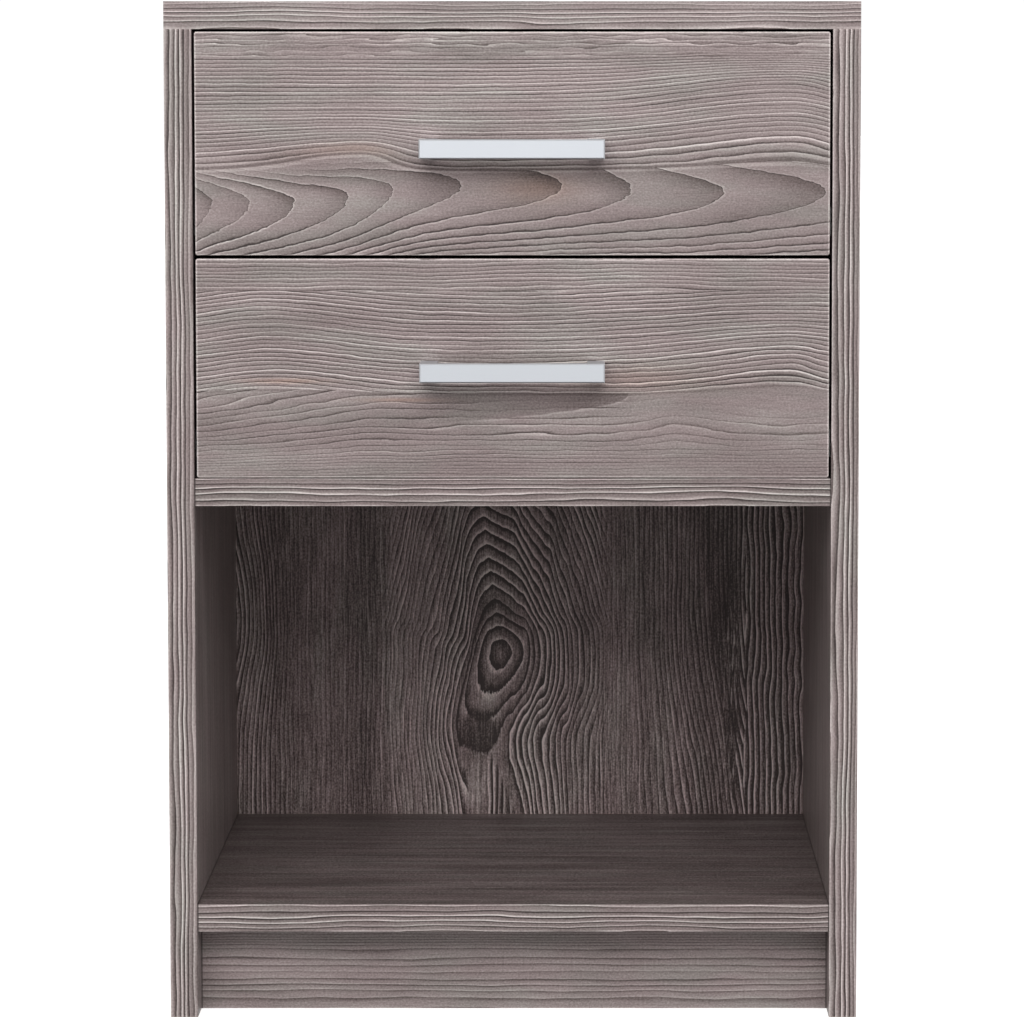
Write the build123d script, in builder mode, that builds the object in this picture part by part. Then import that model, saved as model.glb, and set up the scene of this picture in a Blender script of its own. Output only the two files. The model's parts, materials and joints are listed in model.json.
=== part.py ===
import os
from math import sqrt

from build123d import *

os.makedirs("parts", exist_ok=True)

# A bedside cabinet with two inset drawers over an open niche, in millimetres.
# +X right, +Y to the back, +Z up. The origin is on the floor, under the middle of the outline,
# handles included.

# Carcass
width = 400.0  # over the two side panels
height = 590.0  # floor to the top face
depth = 350.0  # front edges of the boards to the rear of the back panel
board = 16.0  # particle board of the carcass and of the drawer fronts
back_thickness = 3.0  # hardboard back, nailed over the rear edges
back_inset = 2.0  # the back panel stops short of the outline
plinth_height = 50.5
plinth_recess = 27.5  # toe space in front of the plinth
edge_round = 0.5  # rounded edge banding of the carcass boards

# Drawer fronts and the gaps round them
upper_front_height = 128.2
lower_front_height = 126.5
top_gap = 1.4
middle_gap = 1.9
bottom_gap = 0.5
side_gap = 1.5
front_round = 0.9  # rounded rim of a drawer front
front_corner = 1.4  # its corners, seen from the front

# Drawer boxes
drawer_board = 12.0
drawer_lift = 12.0  # lower edge of a front to the lower edge of its box
drawer_headroom = 18.5  # top of a box to the top of the lower front
drawer_rear_room = 31.0  # rear of a box to the back panel
drawer_bottom = 3.0
groove_depth = 6.0
groove_lift = 10.0  # lower edge of the box to its groove
groove_play = 0.2
groove_air = 0.5  # drawer bottom to the end of its groove
drawer_back_setback = 4.0  # the sides run past the drawer back
drawer_kept = 70.0  # stays in the cabinet when a drawer is open

# Handles
handle_length = 106.0
handle_height = 11.0
handle_leg = 10.0
handle_bar = 6.5
handle_projection = 28.0
handle_bevel = 0.7
upper_handle_drop = 2.6  # centre of the handle under the middle of its front
lower_handle_drop = 1.1
handle_screw_radius, handle_screw_grip = 2.0, 6.0
handle_screw_head_radius, handle_screw_head = 3.9, 2.2
handle_tap = 8.0  # depth of the threaded hole in a handle's leg

# Dowels, cam bolts, cam locks, nails and screws
play = 0.05  # all round a peg, screw or cam in its hole
dowel_radius, dowel_short, dowel_long = 4.0, 12.0, 18.0
mini_dowel_radius, mini_dowel_short, mini_dowel_long = 3.0, 10.0, 15.0
dowel_air = 1.0  # room behind the long end of a dowel
dowel_chamfer = 0.8
cam_radius, cam_depth, cam_reach = 7.5, 12.5, 34.0
mini_cam_radius, mini_cam_depth, mini_cam_reach = 6.0, 9.5, 24.0
cam_slot, cam_slot_depth = 1.4, 2.0
bolt_thread_radius, bolt_thread = 3.0, 11.0
bolt_shank_radius, bolt_neck_radius, bolt_head_radius = 2.5, 1.8, 3.2
mini_thread_radius, mini_thread = 2.5, 9.5
mini_shank_radius, mini_neck_radius, mini_head_radius = 1.8, 1.3, 2.5
bolt_neck, bolt_head = 2.0, 3.0
bolt_past_cam = 2.0  # the head ends this far past the middle of its cam
bolt_way = 0.8  # air round the head of a bolt
cam_inset = 64.0  # cams of the carcass, from the front and rear edges of a board
dowel_inset = 32.0  # dowels likewise
box_dowel_inset = 20.0  # dowels of a drawer box, from its upper and lower edges
nail_radius, nail_length = 0.8, 20.0
nail_head_radius, nail_head = 1.8, 0.8
nail_edge = 12.0  # end nails of a row, from the ends of the board
side_nails = 6
box_nail_length = 12.0
screw_radius, screw_head_radius = 1.75, 2.95
rail_screw_length = 13.0
box_rail_screw_length, box_rail_screw_head = 9.5, 1.6
box_screw_radius, box_screw_head_radius, box_screw_length = 2.0, 4.0, 34.0

# Roller slides
slide_gap = 12.5  # cabinet side to drawer side
sheet = 1.2  # steel of the rails
rail_start = 2.0  # rear of a drawer front to the front of the cabinet rail
rail_to_rail = 0.7  # sideways, fixed flange to moving web
flange_to_flange = 0.9  # upwards, fixed flange to moving flange
moving_flange_air = 3.0  # sideways, moving flange to the cabinet side
rear_roller_radius = 6.5
roller_width = 6.2
roller_air = 0.3  # between a roller and the steel above and below it
roller_end_air = 0.1  # between a roller and its shoulder or the head of its pin
roller_bevel = 0.5
roller_end = 9.0  # roller axis from the end of its rail
open_front = 24.0  # stretch of the cabinet rail with no upper flange, round the front roller
pin_radius = 2.0
pin_play = 0.05
pin_shoulder_radius, pin_shoulder = 2.8, 0.7
pin_head_radius, pin_head = 3.2, 1.0
stop_height, stop_length = 4.0, 2.0
stop_from_web, stop_width = 2.0, 6.0
rail_screw_shares = (0.2, 0.52, 0.88)  # along a rail
box_rail_screw_shares = (0.14, 0.5, 0.84)

# Places that follow from the sizes
front_y = (handle_projection - depth) / 2
board_depth = depth - back_thickness
boards_rear = front_y + board_depth
back_rear = boards_rear + back_thickness
side_top = height - board
inner_half = width / 2 - board
front_half = inner_half - side_gap
upper_front_z = side_top - top_gap - upper_front_height
lower_front_z = upper_front_z - middle_gap - lower_front_height
middle_shelf_z = lower_front_z - bottom_gap - board
bottom_shelf_z = plinth_height
plinth_y = front_y + plinth_recess
box_height = min(upper_front_height, lower_front_height) - drawer_lift - drawer_headroom
box_length = board_depth - board - drawer_rear_room
box_half = inner_half - slide_gap  # outer face of a drawer side
box_inner = box_half - drawer_board
box_y = front_y + board
box_rear = box_y + box_length
box_back_y = box_rear - drawer_back_setback - drawer_board

# Roller slides, upwards from the underside of a rail
roller_floor = sheet + roller_air
rear_axis_z = roller_floor + rear_roller_radius
channel_top = rear_axis_z + rear_roller_radius + roller_air
moving_flange_z = channel_top + sheet + flange_to_flange
front_roller_radius = (moving_flange_z - roller_air - roller_floor) / 2
front_axis_z = roller_floor + front_roller_radius
fixed_flange = slide_gap - 2 * sheet - rail_to_rail
moving_flange = slide_gap - sheet - moving_flange_air
roller_start = sheet + pin_shoulder + roller_end_air
roller_stop = roller_start + roller_width
rail_y = box_y + rail_start
rail_length = box_length
front_axis_y = rail_y + roller_end
rear_axis_y = box_rear - roller_end
# The stop tab meets the roller at its own height, where the roller is narrower than at its axis.
drawer_travel = box_length - drawer_kept
stop_meets = sqrt(rear_roller_radius**2 - (rear_axis_z - sheet - stop_height) ** 2)
stop_rear = rear_axis_y - drawer_travel - stop_meets - roller_air

sides = (("left", -1), ("right", 1))
drawers = (
    ("upper", upper_front_z, upper_front_height, upper_handle_drop),
    ("lower", lower_front_z, lower_front_height, lower_handle_drop),
)
up, down, forward, backward = (0, 0, 1), (0, 0, -1), (0, -1, 0), (0, 1, 0)
on_base = (Align.CENTER, Align.CENTER, Align.MIN)


# A round peg along the axis of each plane, from start to end.
def peg(planes, radius, start, end):
    with Locations(*[plane.offset(start) for plane in planes]):
        Cylinder(radius, end - start, align=on_base)


# A round hole along the axis of each plane, from start to end.
def bore(planes, radius, start, end):
    with Locations(*[plane.offset(start) for plane in planes]):
        Cylinder(radius, end - start, align=on_base, mode=Mode.SUBTRACT)


# A cone along the axis of each plane, wide at its start.
def taper(planes, wide, narrow, start, length, mode=Mode.ADD):
    with Locations(*[plane.offset(start) for plane in planes]):
        Cone(wide, narrow, length, align=on_base, mode=mode)


# A rectangular block between its lowest and highest corners.
def slab(low, high, mode=Mode.ADD):
    with BuildSketch(Plane.XY.offset(low[2])) as outline:
        with Locations(((low[0] + high[0]) / 2, (low[1] + high[1]) / 2)):
            Rectangle(high[0] - low[0], high[1] - low[1])
    extrude(outline.sketch, amount=high[2] - low[2], mode=mode)


# A block that lies on one side of the middle plane, between two distances from it.
def side_slab(sign, near, far, low_y, high_y, low_z, high_z, mode=Mode.ADD):
    low_x, high_x = sorted((sign * near, sign * far))
    slab((low_x, low_y, low_z), (high_x, high_y, high_z), mode)


def round_front(part, radius):
    fillet(part.faces().sort_by(Axis.Y)[0].edges(), radius)


def finish(name, label):
    name.part.label = label
    export_step(name.part, f"parts/{label}.step")


# A joint is a plane between two boards, its axis pointing into the board that holds the cam.
def joint(x, y, z, direction):
    return Plane(origin=(x, y, z), z_dir=direction)


# The mouth of a joint's cam hole, with its axis pointing into the board.
def cam_mouth(plane, into, reach, thickness):
    return Plane(origin=plane.origin + plane.z_dir * reach - Vector(*into) * thickness / 2, z_dir=into)


# Joints of the carcass: bolts, dowels and cam mouths of each board end
def board_end(side, shelf_z):
    sign = dict(sides)[side]
    inward = (-sign, 0, 0)
    z = shelf_z + board / 2
    bolts = [joint(sign * inner_half, y, z, inward)
             for y in (front_y + cam_inset, boards_rear - cam_inset)]
    pegs = [joint(sign * inner_half, y, z, inward)
            for y in (front_y + dowel_inset, boards_rear - dowel_inset)]
    return bolts, pegs, [cam_mouth(plane, up, cam_reach, board) for plane in bolts]


def side_head(side):
    sign = dict(sides)[side]
    x = sign * (inner_half + board / 2)
    bolts = [joint(x, y, side_top, down) for y in (front_y + cam_inset, boards_rear - cam_inset)]
    pegs = [joint(x, y, side_top, down) for y in (front_y + dowel_inset, boards_rear - dowel_inset)]
    return bolts, pegs, [cam_mouth(plane, (sign, 0, 0), cam_reach, board) for plane in bolts]


def plinth_end(side):
    sign = dict(sides)[side]
    y = plinth_y + board / 2
    bolts = [joint(sign * inner_half, y, plinth_height / 3, (-sign, 0, 0))]
    pegs = [joint(sign * inner_half, y, plinth_height * 3 / 4, (-sign, 0, 0))]
    return bolts, pegs, [cam_mouth(plane, forward, cam_reach, board) for plane in bolts]


head_joints = {side: side_head(side) for side, _ in sides}
end_joints = {
    side: [board_end(side, middle_shelf_z), board_end(side, bottom_shelf_z), plinth_end(side)]
    for side, _ in sides
}
all_joints = list(head_joints.values()) + end_joints["left"] + end_joints["right"]
carcass_bolts, carcass_pegs, carcass_mouths = (sum(group, []) for group in zip(*all_joints))

# Nails of the back panel, into the rear edges of the boards
back_low, back_high = bottom_shelf_z + back_inset, height - back_inset
nail_span = side_top - back_low - 2 * nail_edge
nail_places = [
    (sign * (inner_half + board / 2), back_low + nail_edge + nail_span * step / (side_nails - 1))
    for _, sign in sides
    for step in range(side_nails)
]
for edge_z in (bottom_shelf_z, middle_shelf_z, side_top):
    nail_places += [(x, edge_z + board / 2) for x in (-inner_half / 2, 0, inner_half / 2)]
nails = [joint(x, back_rear, z, forward) for x, z in nail_places]


# Rails, rollers and their screws and pins
def rail_z(front_z):
    return front_z + drawer_lift - sheet


def rail_screws(front_z, sign):
    z = rail_z(front_z) + (sheet + channel_top) / 2
    return [joint(sign * inner_half, rail_y + share * rail_length, z, (sign, 0, 0))
            for share in rail_screw_shares]


def box_rail_screws(front_z, sign):
    x = sign * (box_half - drawer_board / 2)
    return [joint(x, box_y + share * box_length, rail_z(front_z), up) for share in box_rail_screw_shares]


def front_pin(front_z, sign):
    return joint(sign * inner_half, front_axis_y, rail_z(front_z) + front_axis_z, (-sign, 0, 0))


def rear_pin(front_z, sign):
    return joint(sign * box_half, rear_axis_y, rail_z(front_z) + rear_axis_z, (sign, 0, 0))


# Holes in a face that takes bolts and the short ends of dowels
def drill_face(bolts, pegs):
    bore(bolts, bolt_thread_radius + play, -bolt_thread, 0)
    bore(pegs, dowel_radius + play, -dowel_short, 0)


# Holes in the end of a board that holds cams
def drill_end(bolts, pegs, mouths):
    bore(bolts, bolt_head_radius + bolt_way, 0, cam_reach)
    bore(pegs, dowel_radius + play, 0, dowel_long + dowel_air)
    bore(mouths, cam_radius + play, 0, cam_depth)


# Top panel: lies on both side panels
with BuildPart() as top_panel:
    slab((-width / 2, front_y, side_top), (width / 2, boards_rear, height))
    round_front(top_panel, edge_round)
    for bolts, pegs, _ in head_joints.values():
        drill_face(bolts, pegs)
    bore(nails, nail_radius + play, 0, nail_length)
finish(top_panel, "top_panel")

# Side panels: stand on the floor and carry the rails
for side, sign in sides:
    with BuildPart() as side_panel:
        side_slab(sign, inner_half, width / 2, front_y, boards_rear, 0, side_top)
        round_front(side_panel, edge_round)
        drill_end(*head_joints[side])
        for bolts, pegs, _ in end_joints[side]:
            drill_face(bolts, pegs)
        for _, front_z, _, _ in drawers:
            bore(rail_screws(front_z, sign), screw_radius + play, 0, rail_screw_length)
        bore(nails, nail_radius + play, 0, nail_length)
    finish(side_panel, f"side_panel_{side}")

# Shelves: between the side panels
for number, (shelf, shelf_z) in enumerate(
        (("middle_shelf", middle_shelf_z), ("bottom_shelf", bottom_shelf_z))):
    with BuildPart() as shelf_board:
        slab((-inner_half, front_y, shelf_z), (inner_half, boards_rear, shelf_z + board))
        round_front(shelf_board, edge_round)
        for side, _ in sides:
            drill_end(*end_joints[side][number])
        bore(nails, nail_radius + play, 0, nail_length)
    finish(shelf_board, shelf)

# Plinth board: set back under the bottom shelf, down to the floor
with BuildPart() as plinth_board:
    slab((-inner_half, plinth_y, 0), (inner_half, plinth_y + board, plinth_height))
    for side, _ in sides:
        drill_end(*end_joints[side][-1])
finish(plinth_board, "plinth_board")

# Back panel: hardboard over the rear edges, with its nails driven flush
with BuildPart() as back_panel:
    slab((-width / 2 + back_inset, boards_rear, back_low), (width / 2 - back_inset, back_rear, back_high))
    bore(nails, nail_radius + play, 0, back_thickness)
    bore(nails, nail_head_radius + play, 0, nail_head)
finish(back_panel, "back_panel")

with BuildPart() as back_panel_nails:
    peg(nails, nail_radius, 0, nail_length)
    peg(nails, nail_head_radius, 0, nail_head)
finish(back_panel_nails, "back_panel_nails")


# Pegs and locks of the board joints
def make_dowels(planes, radius, short, long):
    peg(planes, radius, -short, long)


def make_bolts(planes, radii, thread, reach):
    thread_radius, shank_radius, neck_radius, head_radius = radii
    head_end = reach + bolt_past_cam
    peg(planes, thread_radius, -thread, 0)
    peg(planes, shank_radius, 0, head_end - bolt_head - bolt_neck)
    peg(planes, neck_radius, head_end - bolt_head - bolt_neck, head_end - bolt_head)
    peg(planes, head_radius, head_end - bolt_head, head_end)


# A cam: a round plug with a cross slot in its face and a way in from the side for the head of the bolt.
def make_cams(mouths, planes, radius, thickness, reach, head_radius):
    peg(mouths, radius, 0, thickness)
    bore(planes, head_radius + bolt_way, reach - radius - play, reach + bolt_past_cam + bolt_way)
    with Locations(*mouths):
        Box(cam_slot, radius * 1.3, cam_slot_depth, align=on_base, mode=Mode.SUBTRACT)
        Box(radius * 1.3, cam_slot, cam_slot_depth, align=on_base, mode=Mode.SUBTRACT)


with BuildPart() as carcass_dowels:
    make_dowels(carcass_pegs, dowel_radius, dowel_short, dowel_long)
    chamfer(carcass_dowels.edges().filter_by(GeomType.CIRCLE), dowel_chamfer)
finish(carcass_dowels, "carcass_dowels")

bolt_radii = (bolt_thread_radius, bolt_shank_radius, bolt_neck_radius, bolt_head_radius)
with BuildPart() as carcass_cam_bolts:
    make_bolts(carcass_bolts, bolt_radii, bolt_thread, cam_reach)
finish(carcass_cam_bolts, "carcass_cam_bolts")

with BuildPart() as carcass_cam_locks:
    make_cams(carcass_mouths, carcass_bolts, cam_radius, cam_depth, cam_reach, bolt_head_radius)
finish(carcass_cam_locks, "carcass_cam_locks")

# Cabinet rails: a channel on each side panel, open at the top round the front roller
for drawer, front_z, _, _ in drawers:
    low_z = rail_z(front_z)
    for side, sign in sides:
        screws, pin = rail_screws(front_z, sign), front_pin(front_z, sign)
        web_face, flange_end = inner_half - sheet, inner_half - sheet - fixed_flange
        with BuildPart() as cabinet_rail:
            rail_rear = rail_y + rail_length
            side_slab(sign, web_face, inner_half, rail_y, rail_rear, low_z, low_z + channel_top + sheet)
            side_slab(sign, flange_end, web_face, rail_y, rail_rear, low_z, low_z + sheet)
            side_slab(
                sign, flange_end, web_face, rail_y + open_front, rail_rear,
                low_z + channel_top, low_z + channel_top + sheet,
            )
            stop_far = web_face - stop_from_web
            side_slab(
                sign, stop_far - stop_width, stop_far, stop_rear - stop_length, stop_rear,
                low_z + sheet, low_z + sheet + stop_height,
            )
            bore([pin], pin_radius + pin_play, 0, sheet)
            taper(screws, screw_head_radius + play, screw_radius + play, -sheet, sheet, Mode.SUBTRACT)
        finish(cabinet_rail, f"{drawer}_cabinet_rail_{side}")

all_rail_screws = [plane for _, z, _, _ in drawers for _, sign in sides for plane in rail_screws(z, sign)]
with BuildPart() as cabinet_rail_screws:
    taper(all_rail_screws, screw_head_radius, screw_radius, -sheet, sheet)
    peg(all_rail_screws, screw_radius, 0, rail_screw_length)
finish(cabinet_rail_screws, "cabinet_rail_screws")


# Roller pins are riveted into the steel of their rail, with a shoulder behind the roller and a
# head before it.
def make_pins(planes):
    peg(planes, pin_radius, 0, roller_stop + roller_end_air + pin_head)
    peg(planes, pin_shoulder_radius, sheet, sheet + pin_shoulder)
    peg(planes, pin_head_radius, roller_stop + roller_end_air, roller_stop + roller_end_air + pin_head)


def make_roller(part, plane, radius):
    peg([plane], radius, roller_start, roller_stop)
    chamfer(part.edges().filter_by(GeomType.CIRCLE), roller_bevel)
    bore([plane], pin_radius + pin_play, roller_start, roller_stop)


with BuildPart() as front_roller_pins:
    make_pins([front_pin(z, sign) for _, z, _, _ in drawers for _, sign in sides])
finish(front_roller_pins, "front_roller_pins")

for drawer, front_z, _, _ in drawers:
    for side, sign in sides:
        with BuildPart() as front_roller:
            make_roller(front_roller, front_pin(front_z, sign), front_roller_radius)
        finish(front_roller, f"{drawer}_front_roller_{side}")

# Drawers
for drawer, front_z, front_height, handle_drop in drawers:
    box_z = front_z + drawer_lift
    bottom_z = box_z + groove_lift
    handle_z = front_z + front_height / 2 - handle_drop
    handle_x = (handle_length - handle_leg) / 2
    handle_screws = [joint(x, box_y, handle_z, forward) for x in (-handle_x, handle_x)]
    box_nail_xs = (-box_inner / 2, 0, box_inner / 2)
    box_nails = [joint(x, box_back_y + drawer_board / 2, bottom_z, up) for x in box_nail_xs]
    peg_zs = (box_z + box_dowel_inset, box_z + box_height - box_dowel_inset)
    corner_bolts, corner_pegs, corner_mouths, back_screws = {}, {}, {}, {}
    for side, sign in sides:
        mid_x = sign * (box_inner + drawer_board / 2)
        corner_bolts[side] = [joint(mid_x, box_y, box_z + box_height / 2, backward)]
        corner_pegs[side] = [joint(mid_x, box_y, z, backward) for z in peg_zs]
        corner_mouths[side] = [
            cam_mouth(plane, (sign, 0, 0), mini_cam_reach, drawer_board) for plane in corner_bolts[side]
        ]
        screw_y = box_back_y + drawer_board / 2
        screw_zs = (bottom_z + box_dowel_inset, box_z + box_height - box_dowel_inset)
        back_screws[side] = [joint(sign * box_half, screw_y, z, (-sign, 0, 0)) for z in screw_zs]
    drawer_bolts, drawer_pegs, drawer_mouths, drawer_screws = (
        sum(group.values(), []) for group in (corner_bolts, corner_pegs, corner_mouths, back_screws)
    )

    # Front: inset and flush with the carcass
    with BuildPart() as drawer_front:
        slab((-front_half, front_y, front_z), (front_half, box_y, front_z + front_height))
        fillet(drawer_front.edges().filter_by(Axis.Y), front_corner)
        round_front(drawer_front, front_round)
        bore(drawer_bolts, mini_thread_radius + play, -mini_thread, 0)
        bore(drawer_pegs, mini_dowel_radius + play, -mini_dowel_short, 0)
        bore(handle_screws, handle_screw_radius + play, 0, board)
        slab(
            (-box_inner - groove_depth, box_y - groove_depth, bottom_z),
            (box_inner + groove_depth, box_y, bottom_z + drawer_bottom + groove_play),
            Mode.SUBTRACT,
        )
    finish(drawer_front, f"{drawer}_drawer_front")

    # Sides: grooved for the bottom, with the rail screwed under them
    for side, sign in sides:
        with BuildPart() as drawer_side:
            side_slab(sign, box_inner, box_half, box_y, box_rear, box_z, box_z + box_height)
            side_slab(
                sign, box_inner, box_inner + groove_depth, box_y, box_rear,
                bottom_z, bottom_z + drawer_bottom + groove_play, Mode.SUBTRACT,
            )
            bore(corner_bolts[side], mini_head_radius + bolt_way, 0, mini_cam_reach)
            bore(corner_pegs[side], mini_dowel_radius + play, 0, mini_dowel_long + dowel_air)
            bore(corner_mouths[side], mini_cam_radius + play, 0, mini_cam_depth)
            bore(box_rail_screws(front_z, sign), screw_radius + play, 0, box_rail_screw_length)
            bore(back_screws[side], box_screw_radius + play, 0, drawer_board)
            cone_length = box_screw_head_radius - box_screw_radius
            taper(back_screws[side], box_screw_head_radius + play, box_screw_radius + play, 0,
                  cone_length, Mode.SUBTRACT)
        finish(drawer_side, f"{drawer}_drawer_side_{side}")

    # Back: stands on the bottom panel between the sides
    with BuildPart() as drawer_back:
        slab(
            (-box_inner, box_back_y, bottom_z + drawer_bottom),
            (box_inner, box_back_y + drawer_board, box_z + box_height),
        )
        bore(drawer_screws, box_screw_radius + play, drawer_board, box_screw_length)
        bore(box_nails, nail_radius + play, drawer_bottom, box_nail_length)
    finish(drawer_back, f"{drawer}_drawer_back")

    with BuildPart() as drawer_bottom_panel:
        bottom_half = box_inner + groove_depth - groove_air
        slab(
            (-bottom_half, box_y - groove_depth + groove_air, bottom_z),
            (bottom_half, box_back_y + drawer_board, bottom_z + drawer_bottom),
        )
        bore(box_nails, nail_radius + play, 0, drawer_bottom)
        bore(box_nails, nail_head_radius + play, 0, nail_head)
    finish(drawer_bottom_panel, f"{drawer}_drawer_bottom")

    with BuildPart() as drawer_nails:
        peg(box_nails, nail_radius, 0, box_nail_length)
        peg(box_nails, nail_head_radius, 0, nail_head)
    finish(drawer_nails, f"{drawer}_drawer_bottom_nails")

    with BuildPart() as drawer_back_screws:
        peg(drawer_screws, box_screw_radius, 0, box_screw_length)
        taper(drawer_screws, box_screw_head_radius, box_screw_radius, 0, cone_length)
    finish(drawer_back_screws, f"{drawer}_drawer_back_screws")

    with BuildPart() as drawer_dowels:
        make_dowels(drawer_pegs, mini_dowel_radius, mini_dowel_short, mini_dowel_long)
        chamfer(drawer_dowels.edges().filter_by(GeomType.CIRCLE), dowel_chamfer)
    finish(drawer_dowels, f"{drawer}_drawer_dowels")

    mini_radii = (mini_thread_radius, mini_shank_radius, mini_neck_radius, mini_head_radius)
    with BuildPart() as drawer_cam_bolts:
        make_bolts(drawer_bolts, mini_radii, mini_thread, mini_cam_reach)
    finish(drawer_cam_bolts, f"{drawer}_drawer_cam_bolts")

    with BuildPart() as drawer_cam_locks:
        make_cams(drawer_mouths, drawer_bolts, mini_cam_radius, mini_cam_depth, mini_cam_reach,
                  mini_head_radius)
    finish(drawer_cam_locks, f"{drawer}_drawer_cam_locks")

    # Handle: a flat bar on two legs
    bar_y = front_y - handle_projection
    with BuildPart() as handle:
        with BuildSketch(Plane.XY.offset(handle_z - handle_height / 2)):
            with Locations((0, bar_y + handle_bar / 2)):
                Rectangle(handle_length, handle_bar)
            with Locations((-handle_x, bar_y + handle_projection / 2),
                           (handle_x, bar_y + handle_projection / 2)):
                Rectangle(handle_leg, handle_projection)
        extrude(amount=handle_height)
        chamfer(handle.faces().sort_by(Axis.Y)[0].edges(), handle_bevel)
        bore(handle_screws, handle_screw_radius + play, board, board + handle_tap)
    finish(handle, f"{drawer}_handle")

    with BuildPart() as handle_screw_group:
        peg(handle_screws, handle_screw_radius, 0, board + handle_screw_grip)
        peg(handle_screws, handle_screw_head_radius, -handle_screw_head, 0)
        head_edges = handle_screw_group.faces().sort_by(Axis.Y)[-2:].edges()
        fillet(head_edges, handle_screw_head / 2)
    finish(handle_screw_group, f"{drawer}_handle_screws")

    # Drawer rails: an angle under each side, with an outward flange that rides on the front roller
    low_z = rail_z(front_z)
    for side, sign in sides:
        with BuildPart() as drawer_rail:
            top_z = low_z + moving_flange_z + sheet
            side_slab(sign, box_half, box_half + sheet, box_y, box_rear, low_z, top_z)
            side_slab(sign, box_inner, box_half, box_y, box_rear, low_z, low_z + sheet)
            flange_far = box_half + sheet + moving_flange
            side_slab(sign, box_half + sheet, flange_far, box_y, box_rear, top_z - sheet, top_z)
            bore([rear_pin(front_z, sign)], pin_radius + pin_play, 0, sheet)
            bore(box_rail_screws(front_z, sign), screw_radius + play, 0, sheet)
        finish(drawer_rail, f"{drawer}_drawer_rail_{side}")

    under_screws = [plane for _, sign in sides for plane in box_rail_screws(front_z, sign)]
    with BuildPart() as drawer_rail_screws:
        peg(under_screws, screw_radius, 0, box_rail_screw_length)
        peg(under_screws, screw_head_radius, -box_rail_screw_head, 0)
    finish(drawer_rail_screws, f"{drawer}_drawer_rail_screws")

    with BuildPart() as rear_roller_pins:
        make_pins([rear_pin(front_z, sign) for _, sign in sides])
    finish(rear_roller_pins, f"{drawer}_rear_roller_pins")

    for side, sign in sides:
        with BuildPart() as rear_roller:
            make_roller(rear_roller, rear_pin(front_z, sign), rear_roller_radius)
        finish(rear_roller, f"{drawer}_rear_roller_{side}")
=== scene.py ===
import bpy
import json
import math
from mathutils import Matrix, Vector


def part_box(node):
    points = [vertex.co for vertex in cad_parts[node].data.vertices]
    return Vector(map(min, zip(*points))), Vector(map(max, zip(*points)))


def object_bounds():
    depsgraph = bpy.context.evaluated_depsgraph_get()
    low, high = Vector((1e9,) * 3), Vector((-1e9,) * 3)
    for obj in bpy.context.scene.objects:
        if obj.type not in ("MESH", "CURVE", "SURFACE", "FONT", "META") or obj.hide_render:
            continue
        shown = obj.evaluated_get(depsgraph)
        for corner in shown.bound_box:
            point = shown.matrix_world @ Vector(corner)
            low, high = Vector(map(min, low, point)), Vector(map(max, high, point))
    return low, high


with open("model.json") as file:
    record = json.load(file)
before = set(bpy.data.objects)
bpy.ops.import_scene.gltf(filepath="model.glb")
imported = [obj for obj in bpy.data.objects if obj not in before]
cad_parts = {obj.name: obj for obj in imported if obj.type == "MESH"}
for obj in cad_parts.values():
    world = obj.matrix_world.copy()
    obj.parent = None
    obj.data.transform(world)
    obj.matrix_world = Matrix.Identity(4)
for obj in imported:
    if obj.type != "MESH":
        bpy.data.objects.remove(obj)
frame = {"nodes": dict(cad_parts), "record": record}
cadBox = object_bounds()
nodes = frame["nodes"]
print("frame loaded,", len(nodes), "nodes")


def tint(red, green, blue):  # a colour as read from a swatch, 0 to 255, made linear
    def linear(level):
        share = level / 255
        return share / 12.92 if share <= 0.04045 else ((share + 0.055) / 1.055) ** 2.4
    return (linear(red), linear(green), linear(blue), 1.0)


class Wire:  # one output socket of a finish, so that sums on it are written as Python
    def __init__(self, finish, socket):
        self.finish, self.socket = finish, socket

    def sum(self, operation, *others):
        return self.finish.node("ShaderNodeMath", {"operation": operation}, dict(enumerate(others)))

    def __add__(self, other):
        return self.sum("ADD", self, other)

    def __radd__(self, other):
        return self.sum("ADD", other, self)

    def __sub__(self, other):
        return self.sum("SUBTRACT", self, other)

    def __rsub__(self, other):
        return self.sum("SUBTRACT", other, self)

    def __mul__(self, other):
        return self.sum("MULTIPLY", self, other)

    def __rmul__(self, other):
        return self.sum("MULTIPLY", other, self)

    def __truediv__(self, other):
        return self.sum("DIVIDE", self, other)

    def __rtruediv__(self, other):
        return self.sum("DIVIDE", other, self)

    def __pow__(self, power):
        return self.sum("POWER", self, power)

    def __gt__(self, other):
        return self.sum("GREATER_THAN", self, other)

    def __lt__(self, other):
        return self.sum("LESS_THAN", self, other)

    def __abs__(self):
        return self.sum("ABSOLUTE", self)

    def floor(self):
        return self.sum("FLOOR", self)

    def part(self):
        return self.sum("FRACT", self)

    def root(self):
        return self.sum("SQRT", self)

    def exponent(self):
        return self.sum("EXPONENT", self)

    def least(self, other):
        return self.sum("MINIMUM", self, other)

    def most(self, other):
        return self.sum("MAXIMUM", self, other)

    def ease(self, low, high):  # 0 below low, 1 above high, smooth between
        return self.finish.node(
            "ShaderNodeMapRange", {"interpolation_type": "SMOOTHSTEP", "clamp": True},
            {0: self, 1: low, 2: high, 3: 0.0, 4: 1.0})

    def toward(self, other, share):  # this at share 0, other at share 1
        return self + (other - self) * share


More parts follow.
